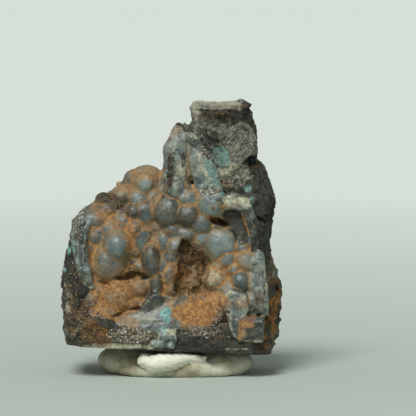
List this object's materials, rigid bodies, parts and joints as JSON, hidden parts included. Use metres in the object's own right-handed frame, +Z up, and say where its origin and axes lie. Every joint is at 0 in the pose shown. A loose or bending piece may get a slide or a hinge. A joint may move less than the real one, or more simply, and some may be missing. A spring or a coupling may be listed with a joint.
{
  "type": "mineral specimen",
  "caption": "Hand specimen of blue-grey botryoidal chalcedony with shattuckite in a cavity of dark matrix, standing on a flattened wad of mounting putty.",
  "frame": {"origin": "on the flat underside of the putty, below the middle of the specimen", "axes": "+Z up, the open side of the cavity faces -Y, +X to the right as seen from the front"},
  "size_m": [0.0556, 0.033, 0.0686],
  "materials": {
    "rock": "rough, broken stone",
    "chalcedony": "waxy, slightly translucent",
    "putty": "soft satin"
  },
  "bodies": {
    "root": {"matrix": "rock", "chalcedony_crust": "chalcedony", "mounting_putty": "putty"}
  },
  "joints": []
}
